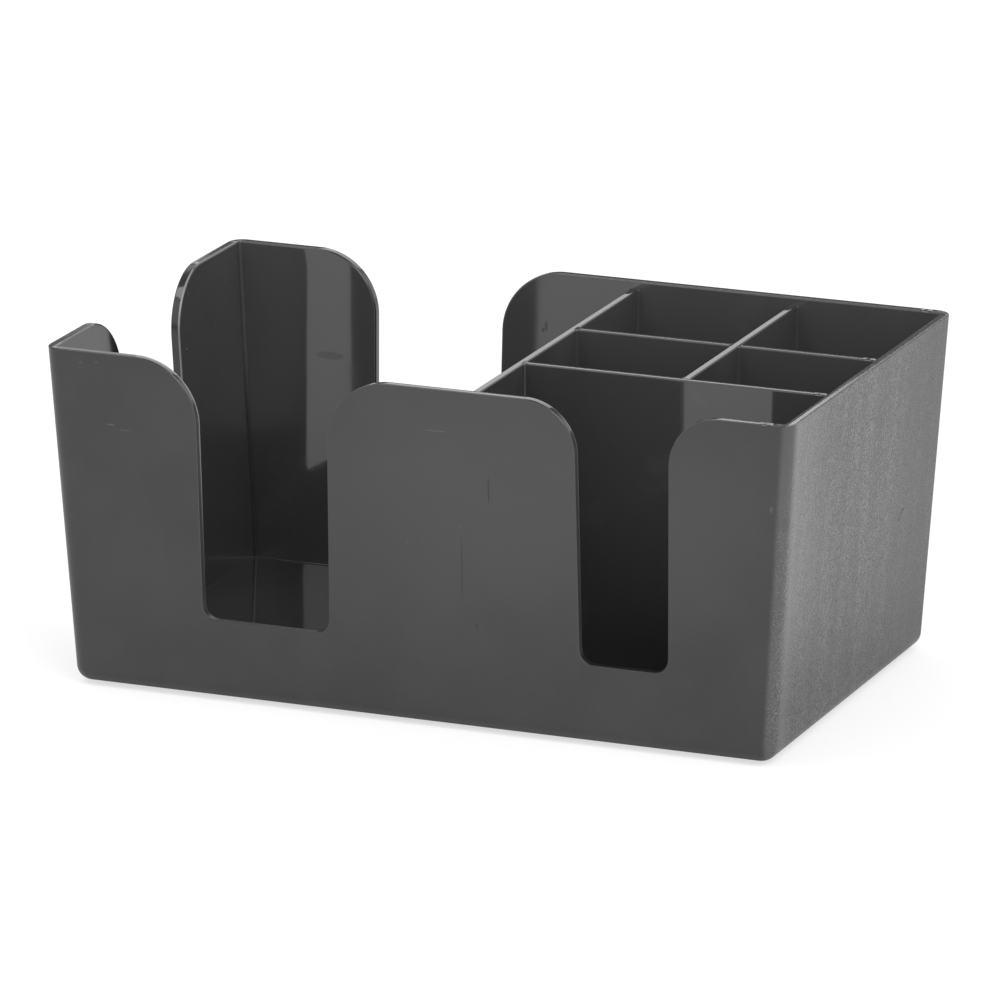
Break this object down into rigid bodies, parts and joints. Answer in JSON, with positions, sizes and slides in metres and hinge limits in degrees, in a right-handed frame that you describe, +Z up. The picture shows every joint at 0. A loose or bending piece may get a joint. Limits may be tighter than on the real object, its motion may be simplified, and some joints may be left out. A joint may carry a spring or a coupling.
{
  "type": "bar caddy (cutlery and napkin dispenser)",
  "caption": "Open-topped charcoal plastic caddy for a bar top: wide napkin bay with cut-out walls, and upright cells for straws, picks or cutlery.",
  "frame": {"origin": "on the surface it stands on, under the middle of the tray", "axes": "+Z up, the front (the wall with two cut-outs) faces -Y, the wide napkin bay is at -X and the small cells at +X"},
  "size_m": [0.24, 0.143, 0.1065],
  "materials": {
    "tray_plastic": "glossy moulded charcoal plastic, satin grain on the end wall",
    "divider_plastic": "glossy moulded charcoal plastic",
    "pad_rubber": "matte"
  },
  "bodies": {
    "root": {"tray": "tray_plastic", "centre_divider": "divider_plastic", "rear_cross_divider": "divider_plastic", "front_cross_divider": "divider_plastic", "straw_divider": "divider_plastic", "foot_front_left": "pad_rubber", "foot_front_right": "pad_rubber", "foot_back_left": "pad_rubber", "foot_back_right": "pad_rubber"}
  },
  "joints": []
}
